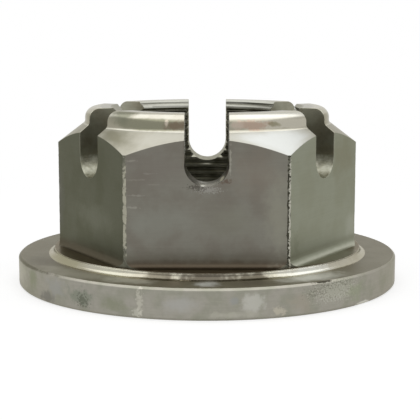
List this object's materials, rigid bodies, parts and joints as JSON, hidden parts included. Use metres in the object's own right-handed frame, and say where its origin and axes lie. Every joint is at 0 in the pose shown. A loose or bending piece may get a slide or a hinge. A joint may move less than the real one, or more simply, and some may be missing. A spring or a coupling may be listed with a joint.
{
  "type": "castle nut",
  "caption": "Castle nut with a round flange: a hexagon with a coned top, and a turned crown cut by radial slots for a cotter pin.",
  "frame": {"origin": "centre of the flange's flat underside", "axes": "+Z along the thread, from the flange to the crown; +X through a corner of the hexagon; +Y out of a flat and through the slot in its middle"},
  "size_m": [0.072, 0.072, 0.0332],
  "materials": {
    "machined_steel": "bare machined steel, dull grey on the flats and brighter on the turned faces"
  },
  "bodies": {
    "root": {"castle_nut": "machined_steel"}
  },
  "joints": []
}
